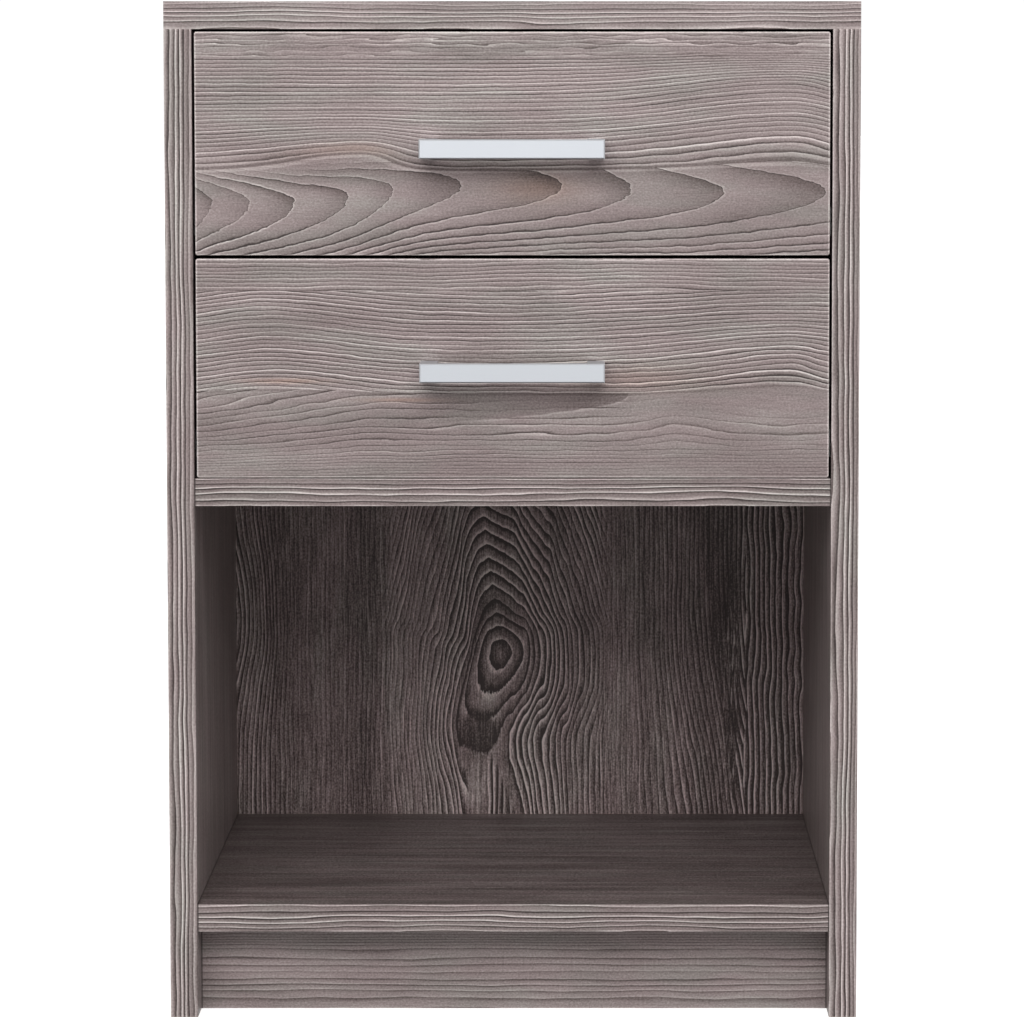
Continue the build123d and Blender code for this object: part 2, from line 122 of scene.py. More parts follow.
class Finish:  # the node tree of one material
    def __init__(self, name, tree=None):
        self.material = None
        if tree is None:
            self.material = bpy.data.materials.new(name)
            self.material.use_nodes = True
            tree = self.material.node_tree
        self.tree = tree
        self.tree.nodes.clear()
        self.known = {}

    def node(self, kind, settings=None, values=None, out=0):
        made = self.tree.nodes.new(kind)
        for name, value in (settings or {}).items():
            if name == "stops":
                ramp = made.color_ramp
                while len(ramp.elements) < len(value):
                    ramp.elements.new(0.5)
                for element, (place, colour) in zip(ramp.elements, value):
                    element.position, element.color = place, colour
            elif name == "points":
                curve = made.mapping.curves[0]
                while len(curve.points) < len(value):
                    curve.points.new(0.5, 0.5)
                for point, place in zip(curve.points, value):
                    point.location = place
                made.mapping.update()
            else:
                setattr(made, name, value)
        for socket, value in (values or {}).items():
            if isinstance(value, Wire):
                self.tree.links.new(value.socket, made.inputs[socket])
            else:
                made.inputs[socket].default_value = value
        return Wire(self, made.outputs[out])

    def axes(self):  # object coordinates in millimetres
        if not self.known:
            place = self.node("ShaderNodeTexCoord", out="Object")
            for axis in "XYZ":
                self.known[axis] = self.node("ShaderNodeSeparateXYZ", None, {0: place}, axis) * 1000
        return self.known["X"], self.known["Y"], self.known["Z"]

    def point(self, x, y, z=0.0):
        return self.node("ShaderNodeCombineXYZ", None, {0: x, 1: y, 2: z})

    def cloud(self, x, y, z=0.0, detail=1.0, rough=0.5):  # soft noise, about -0.5 to 0.5
        return self.node("ShaderNodeTexNoise", {"noise_dimensions": "3D"},
                         {"Vector": self.point(x, y, z), "Scale": 1.0, "Detail": detail,
                          "Roughness": rough}) - 0.5

    def ripple(self, along, across, place):  # place: length, width, seed, size and detail of a wave
        length, width, seed, size, detail = place
        return self.cloud(along / length, across / width, seed, detail) * size

    def luck(self, number):  # a random 0 to 1 for each whole number
        return self.node("ShaderNodeTexWhiteNoise", {"noise_dimensions": "1D"}, {"W": number})

    def curve(self, share, points):
        return self.node("ShaderNodeFloatCurve", {"points": points}, {1: share})

    def ramp(self, share, stops):
        return self.node("ShaderNodeValToRGB", {"stops": stops}, {0: share})

    def blend(self, share, first, second, mode="MIX"):
        return self.node("ShaderNodeMix", {"data_type": "RGBA", "blend_type": mode, "clamp_result": False},
                         {0: share, 6: first, 7: second}, 2)

    def bump(self, height, millimetres, strength=1.0):
        return self.node("ShaderNodeBump", None,
                         {"Strength": strength, "Distance": millimetres / 1000, "Height": height})

    def shade(self, colour, rough, normal=None, metal=0.0, fixed=None):
        values = {"Base Color": colour, "Roughness": rough, "Metallic": metal, **(fixed or {})}
        if normal is not None:
            values["Normal"] = normal
        shader = self.node("ShaderNodeBsdfPrincipled", None, values)
        return self.send(shader, "ShaderNodeOutputMaterial")

    def send(self, shader, outputKind):
        output = self.tree.nodes.new(outputKind)
        self.tree.links.new(shader.socket, output.inputs[0])
        return self.material


def crest(wire, centre, before, after):  # a hill of height 1, with its own width on each side
    offset = wire - centre
    steps = offset / ((offset > 0) * (after - before) + before)
    return (0 - steps * steps).exponent()


def mound(along, across, place):  # a hill on a board's face
    return crest(along, *place["along"]) * crest(across, *place["across"]) * place["high"]


threadEnds = (0.3, 1.0)  # half widths in millimetres, where a thread starts to fade and where it ends


def thread(wire, inner, outer):  # 1 within inner of nought, 0 beyond outer
    return 1 - abs(wire).ease(inner, outer)


def boxInMillimetres(name):
    low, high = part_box(name)
    return low * 1000, high * 1000


def arrisDistance(finish, name):  # millimetres along a face to the board's nearest long edge
    low, high = boxInMillimetres(name)
    gaps = [(high[i] - low[i]) / 2 - abs(axis - (high[i] + low[i]) / 2)
            for i, axis in enumerate(finish.axes())]
    smaller, larger = gaps[0].least(gaps[1]), gaps[0].most(gaps[1])
    return smaller.most(larger.least(gaps[2]))


def giveFinish(name, material):
    node = nodes[name]
    for slot in node.material_slots:
        slot.material = material
    if not node.material_slots:
        node.data.materials.append(material)


woodSettings = {
    "deep": tint(62, 53, 52),        # the darkest line
    "dark": tint(110, 100, 98),
    "middle": tint(152, 142, 141),
    "pale": tint(190, 182, 180),
    "lightest": tint(228, 222, 220),  # the light partner of a line
    "pinkish": tint(255, 246, 246),
    "greenish": tint(251, 252, 248),
    "warm": tint(255, 236, 222),
    "stops": (0.0, 0.25, 0.52, 0.78, 1.0),   # tones at which the five colours stand
    "speckle": 0.62,                 # millimetre-sized mottle
    "fibre": 0.24,                   # long thin streaks
    "grain": 1.0,                    # strength of both of those
    "drift": 0.34,                   # slow change of tone
    "speckleSize": (1.35, 0.95),     # length and width of each, in millimetres
    "fibreSize": (16, 0.8),
    "driftSize": (90, 22),
    "hueSize": (60, 16),
    "hueEnds": (-0.14, 0.24),        # from all pinkish to all greenish
    "edgeLight": 0.20,               # rubbed, lighter arrises: partly wear, partly a painted highlight on the rounded edges
    "rub": (0.2, 0.9),               # where that begins and ends, in from the arris
    "rough": 0.57,
    "roughFall": 0.18,               # pale wood is that much smoother
    "bareRough": 0.85,               # of bare particle board
    "specular": 0.35,
    "bump": 0.03,
    "base": 0.53,                    # tone of the plain ground, from 0 at deep to 1 at lightest
    "chips": (tint(120, 92, 62), tint(196, 166, 124)),  # bare particle board
}


def lines(finish, ring, steep, along, style):
    # a dark and a light line where ring passes a whole number; steep is rings per millimetre
    number, part = ring.floor(), ring.part()
    first, second = finish.luck(number), finish.luck(number + 57.3)
    run = finish.cloud(along / style["runLength"], number * 7.7)
    vigour = (first * 0.9 + 0.45) * (run * style["runAmount"] + 1.0).most(0.05)
    darkLine = 1 - ((1 - part) / steep).ease(0.0, style["darkWidth"])
    lightLine = 1 - (part / steep).ease(0.0, style["lightWidth"])
    fill = part ** style["fillPower"] * style["fill"] * (second * 0.8 + 0.6)
    light = lightLine * style["light"] * (second * 0.9 + 0.45)
    return (light - darkLine * style["dark"]) * vigour - fill


def rawChips(finish, seed):  # particle board, where a board has no edge band
    x, y, z = finish.axes()
    cells = finish.node("ShaderNodeTexVoronoi", {"voronoi_dimensions": "3D", "feature": "F1"},
                        {"Vector": finish.point(x / 2.6, y / 2.6, z / 1.1 + seed), "Scale": 1.0}, 1)
    shade = finish.node("ShaderNodeSeparateColor", None, {0: cells}, 0)
    fine = finish.cloud(x / 0.8, y / 0.8, z / 0.6, 2.0)
    dark, pale = woodSettings["chips"]
    return finish.ramp(shade * 0.8 + fine * 0.5 + 0.1, [(0.0, dark), (1.0, pale)])


def woodColour(finish, tone, along, across, through, seed, wood):
    length, width = wood["speckleSize"]
    speckle = finish.cloud(along / length, across / width, through / width + seed, 2.0, 0.7)
    length, width = wood["fibreSize"]
    fibre = finish.cloud(along / length, across / width, through / width - seed, 2.0, 0.6)
    length, width = wood["driftSize"]
    drift = finish.cloud(along / length, across / width, through / width + seed * 2, 2.0)
    grain = (speckle * wood["speckle"] + fibre * wood["fibre"]) * wood["grain"]
    level = tone + grain + drift * wood["drift"]
    shades = [wood[name] for name in ("deep", "dark", "middle", "pale", "lightest")]
    colour = finish.ramp(level, list(zip(wood["stops"], shades)))
    length, width = wood["hueSize"]
    hue = finish.cloud(along / length, across / width, through / width + seed * 3, 2.0)
    wash = finish.blend(hue.ease(*wood["hueEnds"]), wood["pinkish"], wood["greenish"])
    colour = finish.blend(1.0, colour, wash, "MULTIPLY")
    if "warmth" in wood:
        warmed = finish.blend(1.0, colour, wood["warm"], "MULTIPLY")
        colour = finish.blend(wood["warmth"], colour, warmed)
    return colour, level, fibre + speckle * 0.5


def woodShade(finish, name, tone, axes, seed, extras=None):
    # extras may hold warmth, raw masks and a painted shadow in the joints, and its own rub, edge wear and
    # painted highlight, rough and grain
    along, across, through = axes
    wood = woodSettings | (extras or {})
    # pale arrises: rubbed wear, and a painted highlight where the rounded edges would catch the light
    wear = finish.cloud(along / 6, across / 3, through / 3 + seed, 2.0) + 0.75
    rubbed = 1 - arrisDistance(finish, name).ease(*wood["rub"])
    tone = tone + rubbed * wear * wood["edgeLight"]
    colour, level, relief = woodColour(finish, tone, along, across, through, seed, wood)
    rough = wood["rough"] - level * wood["roughFall"]
    # a painted shadow in the crevice where the board meets the sides
    if "joint" in wood:
        colour = finish.blend(wood["joint"], colour, wood["deep"])
    if "raw" in wood:
        colour = finish.blend(wood["raw"], colour, rawChips(finish, seed))
        rough = rough.toward(wood["bareRough"], wood["raw"])
    giveFinish(name, finish.shade(colour, rough, finish.bump(relief, wood["bump"]), 0.0,
                                  {"Specular IOR Level": wood["specular"]}))


fineStyle = {"runLength": 60, "runAmount": 1.0, "darkWidth": 1.0, "lightWidth": 1.0, "dark": 0.36,
             "light": 0.42, "fill": 0.10, "fillPower": 2.0}
flameStyle = {"runLength": 70, "runAmount": 0.8, "darkWidth": 0.75, "lightWidth": 1.2, "dark": 0.34,
              "light": 0.19, "fill": 0.15, "fillPower": 2.2}
lowStyle = flameStyle | {"fill": 0.12, "runAmount": 1.8, "darkWidth": 1.3}
frontEdges = {"edgeLight": 0.60, "rub": (0.45, 1.25)}   # both fronts have a pale rim: wear, and a painted highlight along the rounded edge

upperFrontSettings = {
    "seed": 3.0,
    "slant": 0.9,           # how far the pattern turns into the board on its edges
    "sway": (30, 8, 1.5, 2.0, 1.0),
    "pitch": 2.3,           # of the fine lines above the seam
    "leftCrest": {"along": (95, 62, 27), "across": (70, 16, 11), "high": 9.5},
    "rightCrest": (343, 82, 34), "rightHigh": 11, "rightRises": (8, 30),
    "rightFades": (58, 84), "rightFade": 0.75,
    "wobbles": ((16, 4.5, 3.1, 0.9, 1.0), (90, 16, 4.2, 2.0, 1.0)),
    "band": (13.0, 15.5),   # mottled band along the top edge
    "bandWobble": (20, 2.4, 8.8, 1.6, 1.0),
    "bandCalm": (0.2, 0.35),   # how much less its lines sway, and how much weaker they are
    "wideFrom": 58, "widening": 0.0042,
    "patches": (90, 12, 6.4, 1.0, 1.0),
    "patchLeast": 0.4,
    "seamAt": 79.5,         # down from the top edge, where the flames start
    "seamSway": 0.25,
    "seamLight": (0.9, 0.16), "seamDark": (0.6, 0.22),   # place and strength of its two threads
    # the flames point right; their tips as shares of the board's length
    "tips": (0.026, 0.086, 0.156, 0.242, 0.312, 0.420, 0.578, 0.688, 0.833, 0.993),
    "axis": 97.7, "axisClimb": (45, 150), "climb": 10.0, "axisFall": (205, 290), "fall": 3.8,
    "axisWave": (9, 5, 11.3, 1.8, 1.5),
    "ragged": (3.6, 1.8, 14.0, 4.2, 3.0),
    "upperBend": 0.0085, "lowerBend": 0.0029, "straighten": (60, 240), "flattens": 0.0042,
    "curl": 0.0000005,
    "tipLength": (0.095, 22),   # how it grows along the board, and where it starts
    "arms": (9, 24), "armWidth": (0.9, 0.7), "armGain": (0.45, 0.9),
    "faint": (-19, -13),    # the uppermost arms fade out
    "fill": {"high": 0.20, "across": (-5, 10, 7)}, "fillPower": 2.4, "fillLuck": (0.9, 0.55),
    "lens": {"along": (95, 40, 20), "across": (76, 4.5, 3.5), "high": 1.0},
    "lensCalm": 0.5, "lensTone": 0.05, "lensWarmth": 0.6,
    "patch": {"along": (198, 26, 24), "across": (89, 7, 9), "high": 0.8},
}


def upperFront():
    name, place = "upper_drawer_front", upperFrontSettings
    finish = Finish("upperFrontWood")
    x, y, z = finish.axes()
    low, high = boxInMillimetres(name)
    back = y - low.y
    v = high.z - z + back * place["slant"]
    u = x - low.x
    u = u + finish.ripple(u, v, place["sway"])

    # fine lines, bent over two crests
    rightCrest = crest(u, *place["rightCrest"]) * v.ease(*place["rightRises"]) * place["rightHigh"]
    rightCrest = rightCrest * (1 - v.ease(*place["rightFades"]) * place["rightFade"])
    bent = v + mound(u, v, place["leftCrest"]) + rightCrest
    near, far = place["wobbles"]
    wobble = finish.ripple(u, v, near) + finish.ripple(u, v, far)
    band = 1 - v.ease(*place["band"])
    wide = (bent - place["wideFrom"]).most(0.0)
    lessSway, lessTone = place["bandCalm"]
    ring = (bent + wobble * (1 - band * lessSway)) / place["pitch"] - wide * wide * place["widening"]
    ring = ring + finish.ripple(u, v, place["bandWobble"]) * band
    fineTone = lines(finish, ring, 1 / place["pitch"], u, fineStyle) * (1 - band * lessTone)
    fineTone = fineTone * (finish.ripple(u, v, place["patches"]) + 1.0).most(place["patchLeast"])

    # flames
    axis = place["axis"] - u.ease(*place["axisClimb"]) * place["climb"]
    axis = axis + u.ease(*place["axisFall"]) * place["fall"]
    off = v - axis + finish.ripple(u, v, place["axisWave"])
    count = len(place["tips"]) + 1
    points = [(0.0, 0.03)] + [(tip, (index + 1) / count) for index, tip in enumerate(place["tips"])]
    ragged = (u + finish.ripple(u, v, place["ragged"])) / (high.x - low.x)
    along = finish.curve(ragged, points) * count
    square = off * off
    bend = place["upperBend"] - u.ease(*place["straighten"]) * place["flattens"]
    bend = bend.toward(place["lowerBend"], off > 0)
    flame = along + square * bend + square * square * place["curl"]
    slope = off * bend * 2 + off * square * place["curl"] * 4
    growth, start = place["tipLength"]
    tipSlope = 1 / (u * growth + start)
    steep = (slope * slope + tipSlope * tipSlope).root()
    arms = off.ease(*place["arms"])
    wider, narrow = place["armWidth"]
    flameTone = lines(finish, flame + 200, steep, u, flameStyle | {"darkWidth": arms * wider + narrow})
    more, least = place["armGain"]
    flameTone = flameTone * (arms * more + least) * (0.25 + 0.75 * off.ease(*place["faint"]))
    fill = flame.part() ** place["fillPower"] * crest(off, *place["fill"]["across"]) * place["fill"]["high"]
    varied, least = place["fillLuck"]
    flameTone = flameTone - fill * (finish.luck(flame.floor()) * varied + least)

    # a dark and a light thread along the seam, and a warm lens above it
    seam = bent - place["seamAt"] + wobble * place["seamSway"]
    tone = fineTone.toward(flameTone, seam > 0)
    (below, light), (above, dark) = place["seamLight"], place["seamDark"]
    tone = tone + thread(seam - below, *threadEnds) * light - thread(seam + above, *threadEnds) * dark
    lens = mound(u, bent, place["lens"])
    tone = tone * (1 - lens * place["lensCalm"]) + lens * place["lensTone"] + woodSettings["base"]
    warmth = lens * place["lensWarmth"] + mound(u, v, place["patch"])
    woodShade(finish, name, tone, (u, v, back), place["seed"], frontEdges | {"warmth": warmth})


lowerFrontSettings = {
    "seed": 9.0,
    "slant": 0.9,
    "wobbles": ((14, 4.5, 21.1, 1.2, 1.0), (70, 15, 22.2, 2.2, 1.0)),
    "leftCrest": (42, 50, 62), "leftHigh": 8,
    "rightCrest": (342, 55, 22), "rightHigh": 5.5, "rightRises": (25, 60),
    "rise": (170, 350), "riseEnds": (45, 78), "riseHigh": 6,
    "pitch": 2.4,
    "topSeam": 18.5,        # down from the top edge
    "topPitch": 2.3, "topSway": 0.8, "topGain": 0.8,
    "topWaves": (60, 14, 24.0, 4, 1.0), "topCrest": (250, 60, 60), "topHigh": 1.5,
    "patches": (80, 10, 26.4, 1.2, 1.0), "patchMean": 1.15, "patchLeast": 0.3,
    "lowSeam": 77.5,
    "seamBend": (0.3, 0.9, 0.4),   # share that it takes of the left crest, the right crest and the sway
    "seamLight": (0.7, 0.14, 1.1),   # place, strength and half width of its light thread
    "seamDark": (0.8, 0.10, 1.0),
    "lowPitch": 4.6,
    "fall": (-30, 112), "fallEnds": (80, 135), "fallHigh": 20,
    "hump": {"along": (278, 22, 34), "across": (92, 12, 14), "high": 5.6},
    "lowWaves": (55, 9, 27.0, 1.4, 1.0), "lowSway": 1.6,
    "crowdFrom": 100, "crowding": 0.008,
    "plain": (225, 262), "plainEnds": (88, 96),
    "plainCalm": (0.8, 0.35),        # in its upper part, and everywhere
    "flameTip": 249.0,      # from the left edge
    "flameStart": (120, 185), "flameDark": (150, 240), "flameCalm": 0.8, "flameDepth": 0.17,
    "flameDrop": 1.2, "flameWidth": 1.55,   # below the seam, and its growth away from the tip
    "flameWave": (9, 4, 31.0, 1.6, 1.0), "flameEdge": 0.25, "flameThread": (0.7, 0.12),
    "streaks": ({"along": (118, 22, 24), "across": (81.5, 1.2, 1.2), "high": 1.0},
                {"along": (52, 24, 24), "across": (70.5, 1.6, 1.6), "high": 1.0}),
    "streakTone": 0.12, "streakWarmth": 0.9,
    "warmPatch": {"along": (252, 40, 44), "across": (70, 9, 7), "high": 0.45},
    # the lower front is a little darker: painted shade for light that falls off toward the bottom
    "darker": 0.03,
}


def lowerFront():
    name, place = "lower_drawer_front", lowerFrontSettings
    finish = Finish("lowerFrontWood")
    x, y, z = finish.axes()
    low, high = boxInMillimetres(name)
    back = y - low.y
    u, v = x - low.x, high.z - z + back * place["slant"]
    near, far = place["wobbles"]
    wobble = finish.ripple(u, v, near) + finish.ripple(u, v, far)

    # fine lines between the two seams, bent over two crests
    leftCrest = crest(u, *place["leftCrest"]) * place["leftHigh"]
    rightCrest = crest(u, *place["rightCrest"]) * v.ease(*place["rightRises"]) * place["rightHigh"]
    rise = u.ease(*place["rise"]) * (1 - v.ease(*place["riseEnds"])) * place["riseHigh"]
    ring = (v + leftCrest + rightCrest + rise + wobble) / place["pitch"]
    fine = lines(finish, ring, 1 / place["pitch"], u, fineStyle)

    # flatter ones above
    topBend = v + finish.ripple(u, v, place["topWaves"]) + crest(u, *place["topCrest"]) * place["topHigh"]
    topRing = (topBend + wobble * place["topSway"]) / place["topPitch"] + 300
    top = lines(finish, topRing, 1 / place["topPitch"], u, fineStyle) * place["topGain"]
    fine = fine.toward(top, v + wobble * place["seamBend"][2] < place["topSeam"])
    fine = fine * (finish.ripple(u, v, place["patches"]) + place["patchMean"]).most(place["patchLeast"])

    # wider lines below, which rise from the left and hump on the right
    fall = (1 - u.ease(*place["fall"])) * (1 - v.ease(*place["fallEnds"])) * place["fallHigh"]
    lowBend = v - fall + mound(u, v, place["hump"])
    crowd = (lowBend - place["crowdFrom"]).most(0.0)
    lowRing = (lowBend + wobble * place["lowSway"]) / place["lowPitch"]
    lowRing = lowRing + finish.ripple(u, v, place["lowWaves"])
    lowRing = lowRing + crowd * crowd * place["crowding"]
    lowTone = lines(finish, lowRing + 400, 1 / place["lowPitch"], u, lowStyle)
    quiet = u.ease(*place["plain"])
    plain = quiet * (1 - v.ease(*place["plainEnds"]))
    above, everywhere = place["plainCalm"]
    lowTone = lowTone * (1 - plain * above) * (1 - quiet * everywhere)

    # one dark flame under the handle
    arm = (place["flameTip"] - u).most(0.0)
    armDown = place["lowSeam"] + place["flameDrop"] + (arm + 0.01).root() * place["flameWidth"]
    armDown = armDown + finish.ripple(u, v, place["flameWave"])
    beforeTip = u.ease(*place["flameStart"]) * (u < place["flameTip"])
    inside = (armDown - v).ease(-place["flameEdge"], place["flameEdge"]) * beforeTip
    lowTone = (lowTone * (1 - inside * place["flameCalm"])
               - inside * place["flameDepth"] * (0.4 + 0.6 * u.ease(*place["flameDark"])))
    below, light = place["flameThread"]
    lowTone = lowTone + thread(armDown + below - v, *threadEnds) * beforeTip * light

    ofLeft, ofRight, ofSway = place["seamBend"]
    seam = v + leftCrest * ofLeft + rightCrest * ofRight + wobble * ofSway - place["lowSeam"]
    tone = fine.toward(lowTone, seam > 0)
    inner = threadEnds[0]
    (above, light, lightEnd), (below, dark, darkEnd) = place["seamLight"], place["seamDark"]
    tone = (tone + thread(seam + above, inner, lightEnd) * light
            - thread(seam - below, inner, darkEnd) * dark)
    first, second = place["streaks"]
    streak = mound(u, v, first) + mound(u, v, second)
    # the darker shift here is painted shade for the light falling off toward the bottom
    tone = tone + streak * place["streakTone"] + woodSettings["base"] - place["darker"]
    warmth = streak * place["streakWarmth"] + mound(u, v, place["warmPatch"])
    woodShade(finish, name, tone, (u, v, back), place["seed"], frontEdges | {"warmth": warmth})


# grain runs along the first axis; lean turns the growth rings so that they show on the edges too
# tone and faceTone are partly each board's own tone and partly painted shade: boards below the top are
# darker, the niche floor most, for light that falls off downward and into the niche
boardSettings = {
    "top_panel": {"along": "x", "across": "y", "lean": 1.0, "pitch": 3.0, "wave": 3.4, "seed": 11.0,
                  "tone": 0.0, "faceTone": 0.0, "gain": 1.0, "joint": False},
    "middle_shelf": {"along": "x", "across": "y", "lean": 1.0, "pitch": 3.0, "wave": 3.4, "seed": 12.0,
                     "tone": -0.10, "faceTone": -0.06, "gain": 1.1, "joint": True},
    "bottom_shelf": {"along": "x", "across": "y", "lean": 1.0, "pitch": 3.1, "wave": 3.6, "seed": 13.0,
                     "tone": -0.11, "faceTone": -0.13, "gain": 1.15, "joint": True},
    "plinth_board": {"along": "x", "across": "z", "lean": 0.8, "pitch": 4.4, "wave": 2.6, "seed": 14.0,
                     "tone": -0.02, "faceTone": 0.0, "gain": 0.75, "joint": True},
    "side_panel_left": {"along": "z", "across": "y", "lean": 1.0, "pitch": 2.9, "wave": 2.8, "seed": 15.0,
                        "tone": -0.06, "faceTone": 0.02, "gain": 0.9, "joint": False},
    "side_panel_right": {"along": "z", "across": "y", "lean": 1.0, "pitch": 2.9, "wave": 2.8, "seed": 16.0,
                         "tone": -0.06, "faceTone": 0.02, "gain": 0.9, "joint": False},
}
boardDetails = {
    "waves": ((26, 6, 1.6), (95, 20, 1.6)),   # length, width and size, the long one's times the board's
    "drift": (22, 3),        # of the line spacing: its width and size
    "edgeDepth": 0.6,        # of the front edge band
    "bareDepth": 0.25,       # of the edges with no band
    "facePower": 0.6,        # how strong the lines are on the wide faces
    "faceRough": 0.44,
    "faceGrain": 2.2,
    "bands": (130, 9, 0.48),  # long soft streaks on the wide faces: length, width and strength
    "creviceShadow": (0.45, 1.1), "creviceShadowDepth": 0.85,  # painted shadow line where a board meets the sides
    "plinthFine": (34, 46, 3.0),  # where the plinth's lines crowd, and by how many
}
edgeStyle = fineStyle | {"darkWidth": 1.2, "lightWidth": 1.2, "dark": 0.40}
sideStyle = edgeStyle | {"darkWidth": 1.7, "lightWidth": 1.8, "fill": 0.16}
plinthStyle = fineStyle | {"darkWidth": 2.0, "lightWidth": 1.5, "dark": 0.32, "light": 0.16, "fill": 0.14,
                           "runAmount": 1.6}


def carcassBoard(name, place):
    finish, detail = Finish(name + "Wood"), boardDetails
    low, high = boxInMillimetres(name)
    axes = dict(zip("xyz", finish.axes()))
    gaps = {axis: axes[axis] - least for axis, least in zip("xyz", low)}
    onPlinth = name == "plinth_board"
    third = [axis for axis in "xyz" if axis not in (place["along"], place["across"])][0]
    along, across, through = gaps[place["along"]], gaps[place["across"]], gaps[third] * place["lean"]
    seed = place["seed"]
    (length, width, size), (longLength, longWidth, longSize) = detail["waves"]
    wobble = (finish.cloud(along / length, across / width, through / width + seed) * size
              + finish.cloud(along / longLength, across / longWidth, through / longWidth - seed)
              * place["wave"] * longSize)
    width, size = detail["drift"]
    ring = (across + through + wobble) / place["pitch"]
    ring = ring + finish.cloud(across / width, through / width, seed * 2) * size
    if onPlinth:
        start, end, extra = detail["plinthFine"]
        ring = ring + across.ease(start, end) * extra
    style = plinthStyle if onPlinth else sideStyle if place["along"] == "z" else edgeStyle
    tone = lines(finish, ring, 1 / place["pitch"], along, style) * place["gain"]

    # the wide faces are calmer than the edge bands, with long soft streaks
    edge = gaps["y"] < detail["edgeDepth"]
    face = 0.0 if onPlinth else 1 - edge
    length, width, strength = detail["bands"]
    bands = finish.cloud(along / length, across / width, through / width + seed * 1.3, 2.0) * strength
    tone = tone * (1 - face * (1 - detail["facePower"])) + bands * face
    # each board's tone, partly painted shade on the lower boards and the niche floor
    tone = tone + woodSettings["base"] + place["tone"] + face * place["faceTone"]
    extras = {}
    if not onPlinth:
        bare = gaps["y"] > high.y - low.y - detail["bareDepth"]
        if place["along"] == "z":
            bare = bare.most(gaps["z"] < detail["bareDepth"])
        extras["raw"] = bare
        extras["rough"] = face * (detail["faceRough"] - woodSettings["rough"]) + woodSettings["rough"]
        extras["grain"] = face * (detail["faceGrain"] - 1) + 1
    # painted shadow at the board's ends, where it butts against the sides
    if place["joint"]:
        endGap = gaps["x"].least(high.x - low.x - gaps["x"])
        extras["joint"] = (1 - endGap.ease(*detail["creviceShadow"])) * detail["creviceShadowDepth"]
    woodShade(finish, name, tone, (along, across, through), seed, extras)


backSettings = {
    "seed": 21.0,
    "knot": (-11.0, 172.0),   # across from the middle, up from the floor
    # strength of the lines, and tone, from the left edge to the right
    "strength": ((0.0, 0.72), (0.05, 0.70), (0.11, 0.46), (0.15, 0.22), (0.24, 0.26), (0.30, 0.42),
                 (0.38, 0.60), (0.5, 0.76), (0.62, 0.66), (0.70, 0.34), (0.80, 0.38), (0.86, 0.62),
                 (0.91, 0.98), (1.0, 0.96)),
    "tone": ((0.0, 0.54), (0.05, 0.56), (0.09, 0.44), (0.13, 0.46), (0.2, 0.48), (0.25, 0.32),
             (0.30, 0.62), (0.36, 0.62), (0.45, 0.50), (0.58, 0.54), (0.68, 0.48), (0.78, 0.40),
             (0.84, 0.30), (0.88, 0.50), (1.0, 0.50)),
    "lineGain": 1.7, "toneGain": 0.8, "darker": 0.088,
    "leanAbove": -0.146,                     # the rings' axis leans left going up
    "lowAxis": (-52, 38, 34), "lowAxisLeft": 15,
    "reach": (46, 34),                       # how far the axis' lean is felt, left and right
    "sway": (34, 9, 41.0, 2.4, 1.0),
    "ringsAbove": 8.9, "ringsBelow": 11, "belowPower": 0.78, "lastBelow": 4.15,
    "pointed": 1.25, "rounded": 2.1, "pointedFrom": (4, 28),
    "spread": (0.143, 0.18, 0.02), "spreadFrom": (17, 58),   # rings per millimetre sideways
    "joining": 2.6,                          # rings that join in on the right, below the knot
    "waves": ((90, 14, 42.0, 2.2, 1.0), (9, 4, 43.0, 0.25, 1.0)),
    "teeth": (9, 0.6, 48.0, 0.42, 1.0),      # the rings' ends are torn into short upright threads
    "heart": (14, 30), "heartDark": 0.20,    # the inner rings, whose lines are broader
    "drop": (3.9, 0.45, 0.4), "dropDark": 0.34,   # the broad dark ring that ends in the bulb
    "bulb": (-27.0, 120.0, 12.5, 14.0), "bulbDark": (0.85, 0.38),   # middle, height and half sizes
    "threadPitch": 3.5,
    "bulge": (190, 45, 60), "bulgeReach": (-184, -135), "bulgeWide": 12, "leftFrom": (-95, -78),
    "funnel": (30, 215), "funnelReach": (60, 130), "funnelWide": 21, "rightFrom": (44, 64),
    "outerPitch": 3.0, "outerWaves": ((70, 20, 5), (15, 12, 0.9)),   # length, width and size
    "figure": 138, "figureTip": 84,          # across from the middle, up from the floor
    "figureWave": (60, 12), "figureWidening": 0.12, "figureDark": (0.8, 0.25), "figureFades": (190, 270),
    "flecks": ((170, 20, 48), (104, 8, 20)), "fleckLight": 0.72,   # height, and where they begin and end
    "farPitch": 3.8, "farWaves": ((40, 26, 7), (15, 12, 1.6)), "farGain": 0.9,
    "bare": (tint(92, 66, 44), tint(140, 106, 74)),
    "printed": 0.3,                          # depth of the printed face
}
farStyle = {"dark": 0.36, "light": 0.42, "darkWidth": 2.6, "lightWidth": 1.5, "fill": 0.2}
backGrain = {"grain": 2.1, "fibre": 0.54, "pinkish": tint(255, 239, 240), "greenish": tint(254, 247, 244)}


